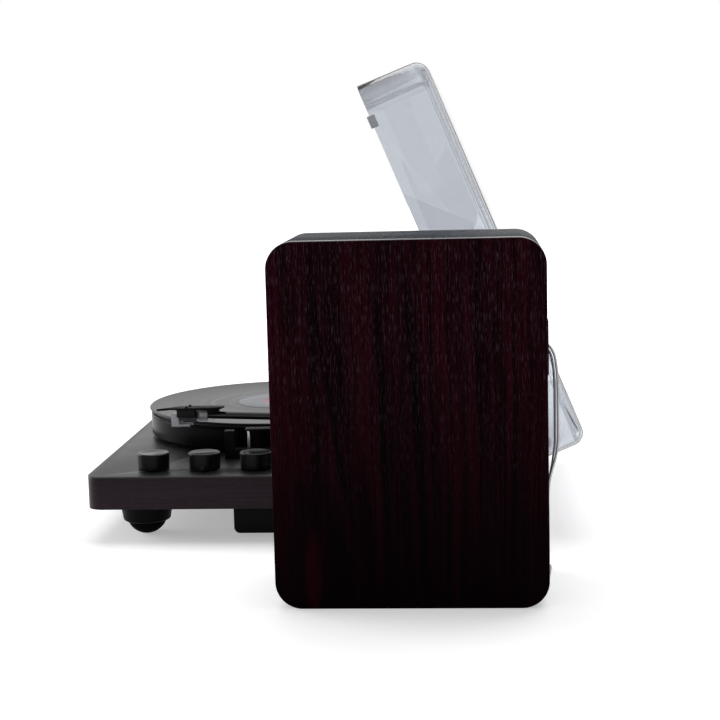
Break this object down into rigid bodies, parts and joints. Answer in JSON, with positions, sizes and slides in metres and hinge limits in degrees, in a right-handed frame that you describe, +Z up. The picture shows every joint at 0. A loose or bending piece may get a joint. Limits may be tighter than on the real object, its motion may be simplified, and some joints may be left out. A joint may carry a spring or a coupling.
{
  "type": "record player with loudspeaker",
  "caption": "Belt-drive record player with built-in amplifier, clear dust cover held open, and a veneered loudspeaker on a lead.",
  "frame": {"origin": "on the floor plane, at the middle of the width and depth of the player and loudspeaker together", "axes": "+X to the player's right, from the player towards the loudspeaker; +Y to the back, where the cover hinges; +Z up"},
  "size_m": [0.653, 0.492, 0.4642],
  "materials": {
    "dark_veneer": "satin lacquered dark mahogany veneer",
    "black_top": "satin black lacquered top",
    "black_board": "black painted fibreboard",
    "black_moulding": "moulded black plastic",
    "green_board": "circuit board",
    "foot_rubber": "soft black rubber",
    "bearing_brass": "turned brass",
    "bright_steel": "polished steel",
    "platter_black": "black painted casting, satin",
    "felt_mat": "black felt",
    "vinyl": "grooved black vinyl with a paper label",
    "motor_can": "zinc plated can",
    "belt_rubber": "ground rubber",
    "grey_metal": "zinc grey",
    "knob_black": "black, satin sides and polished top",
    "arm_black": "black gloss enamel",
    "weight_black": "black enamel",
    "pale_plastic": "pale grey plastic",
    "lead_silver": "tinned leads and clips",
    "clear_cover": "clear acrylic with a faint smoke tint",
    "clear_rubber": "translucent soft rubber",
    "speaker_black": "satin black lacquer",
    "cone_paper": "pressed paper cone",
    "grille_fabric": "black woven grille cloth",
    "clear_cable": "clear insulation over copper",
    "lever_red": "red plastic"
  },
  "bodies": {
    "root": {"plinth": "dark_veneer", "top_panel": "black_top", "bottom_cover": "black_board", "electronics_housing": "black_moulding", "amplifier_board": "green_board", "foot_collars": "black_moulding", "foot_pads": "foot_rubber", "bearing_sleeve": "bearing_brass", "motor": "motor_can", "drive_belt": "belt_rubber", "speed_switch": "grey_metal", "source_switch": "grey_metal", "volume_control": "grey_metal", "tonearm_base": "black_moulding", "arm_rest": "black_moulding", "rest_pin": "bright_steel", "hinge_brackets": "black_moulding", "hinge_pins": "bright_steel", "jack_panel": "black_moulding", "cabinet_wrap": "speaker_black", "side_panel_inner": "dark_veneer", "side_panel_outer": "dark_veneer", "baffle": "black_board", "woofer_basket": "grey_metal", "woofer_cone": "cone_paper", "tweeter": "black_moulding", "grille_frame": "black_moulding", "grille_cloth": "grille_fabric", "terminal_cup": "black_moulding", "cable_lead": "clear_cable", "cable_coil": "clear_cable", "cable_tail": "clear_cable", "cable_tie": "black_moulding"},
    "platter": {"spindle": "bright_steel", "platter": "platter_black", "slipmat": "felt_mat", "record": "vinyl"},
    "pulley": {"motor_pulley": "bearing_brass"},
    "speed_control": {"speed_knob": "knob_black"},
    "source_control": {"source_knob": "knob_black"},
    "volume_dial": {"volume_knob": "knob_black"},
    "arm_carriage": {"arm_yoke": "grey_metal"},
    "arm": {"arm_tube": "arm_black", "headshell": "arm_black", "cartridge": "black_moulding", "stylus_carrier": "pale_plastic", "cartridge_leads": "lead_silver"},
    "balance_weight": {"counterweight": "weight_black"},
    "arm_clip": {"rest_clip": "black_moulding"},
    "cue_bar": {"cue_lift": "black_moulding"},
    "cue_handle": {"cue_lever": "black_moulding"},
    "lid": {"dust_cover": "clear_cover", "lid_leaves": "black_moulding", "lid_buffers": "clear_rubber"},
    "deck_clamp_1": {"deck_lever_1": "lever_red"},
    "deck_clamp_2": {"deck_lever_2": "black_moulding"},
    "deck_clamp_3": {"deck_lever_3": "lever_red"},
    "deck_clamp_4": {"deck_lever_4": "black_moulding"},
    "speaker_clamp_1": {"speaker_lever_1": "lever_red"},
    "speaker_clamp_2": {"speaker_lever_2": "black_moulding"}
  },
  "joints": [
    {"name": "lid_hinge", "type": "hinge", "parent": "root", "child": "lid", "pos_m": [0, 0.172, 0.05], "axis": [1, 0, 0], "range_deg": [0, 67.7]},
    {"name": "platter_spin", "type": "hinge", "parent": "root", "child": "platter", "pos_m": [-0.1545, -0.078, 0.072], "axis": [0, 0, -1], "continuous": true},
    {"name": "pulley_spin", "type": "hinge", "parent": "root", "child": "pulley", "pos_m": [-0.23915, -0.00697, 0.081], "axis": [0, 0, -1], "continuous": true},
    {"name": "arm_swing", "type": "hinge", "parent": "root", "child": "arm_carriage", "pos_m": [0.0029, 0.0487, 0.1062], "axis": [0, 0, -1], "range_deg": [0, 40]},
    {"name": "arm_lift", "type": "hinge", "parent": "arm_carriage", "child": "arm", "pos_m": [0.0029, 0.0487, 0.1062], "axis": [-0.9983, -0.0576, 0], "range_deg": [0, 2]},
    {"name": "counterweight_turn", "type": "hinge", "parent": "arm", "child": "balance_weight", "pos_m": [0.0029, 0.0487, 0.1062], "axis": [0.0575, -0.9974, 0.0436], "range_deg": [-180, 180]},
    {"name": "cue_lever_turn", "type": "hinge", "parent": "root", "child": "cue_handle", "pos_m": [0.02287, 0.04985, 0.086], "axis": [-0.9983, -0.0576, 0], "range_deg": [0, 60]},
    {"name": "cue_lift_rise", "type": "slide", "parent": "root", "child": "cue_bar", "axis": [0, 0, 1], "range_m": [0, 0.00157]},
    {"name": "rest_clip_turn", "type": "hinge", "parent": "root", "child": "arm_clip", "pos_m": [0.01559, -0.05674, 0.11743], "axis": [0.0576, -0.9983, 0], "range_deg": [0, 95]},
    {"name": "speed_knob_turn", "type": "hinge", "parent": "root", "child": "speed_control", "pos_m": [0.0665, -0.1835, 0.068], "axis": [0, 0, -1], "range_deg": [-30, 30]},
    {"name": "source_knob_turn", "type": "hinge", "parent": "root", "child": "source_control", "pos_m": [0.0665, -0.1315, 0.068], "axis": [0, 0, -1], "range_deg": [-45, 45]},
    {"name": "volume_knob_turn", "type": "hinge", "parent": "root", "child": "volume_dial", "pos_m": [0.0665, -0.0795, 0.068], "axis": [0, 0, -1], "range_deg": [0, 300]},
    {"name": "deck_lever_1_press", "type": "hinge", "parent": "root", "child": "deck_clamp_1", "pos_m": [-0.1025, 0.169, 0.0578], "axis": [-1, 0, 0], "range_deg": [0, 12], "stiffness_Nm_per_rad": 0.08, "springref_deg": -5.73},
    {"name": "deck_lever_2_press", "type": "hinge", "parent": "root", "child": "deck_clamp_2", "pos_m": [-0.0865, 0.169, 0.0578], "axis": [-1, 0, 0], "range_deg": [0, 12], "stiffness_Nm_per_rad": 0.08, "springref_deg": -5.73},
    {"name": "deck_lever_3_press", "type": "hinge", "parent": "root", "child": "deck_clamp_3", "pos_m": [-0.0625, 0.169, 0.0578], "axis": [-1, 0, 0], "range_deg": [0, 12], "stiffness_Nm_per_rad": 0.08, "springref_deg": -5.73},
    {"name": "deck_lever_4_press", "type": "hinge", "parent": "root", "child": "deck_clamp_4", "pos_m": [-0.0465, 0.169, 0.0578], "axis": [-1, 0, 0], "range_deg": [0, 12], "stiffness_Nm_per_rad": 0.08, "springref_deg": -5.73},
    {"name": "speaker_lever_1_press", "type": "hinge", "parent": "root", "child": "speaker_clamp_1", "pos_m": [0.2512, 0.1964, 0.224], "axis": [-1, 0, 0], "range_deg": [0, 12], "stiffness_Nm_per_rad": 0.08, "springref_deg": -5.73},
    {"name": "speaker_lever_2_press", "type": "hinge", "parent": "root", "child": "speaker_clamp_2", "pos_m": [0.2768, 0.1964, 0.224], "axis": [-1, 0, 0], "range_deg": [0, 12], "stiffness_Nm_per_rad": 0.08, "springref_deg": -5.73}
  ],
  "couplings": [
    {"joint": "pulley_spin", "follows": "platter_spin", "ratio": 13.846},
    {"joint": "cue_lever_turn", "follows": "cue_lift_rise", "rad_per_m": 666.67},
    {"joint": "arm_lift", "follows": "cue_lift_rise", "rad_per_m": 22.222}
  ]
}
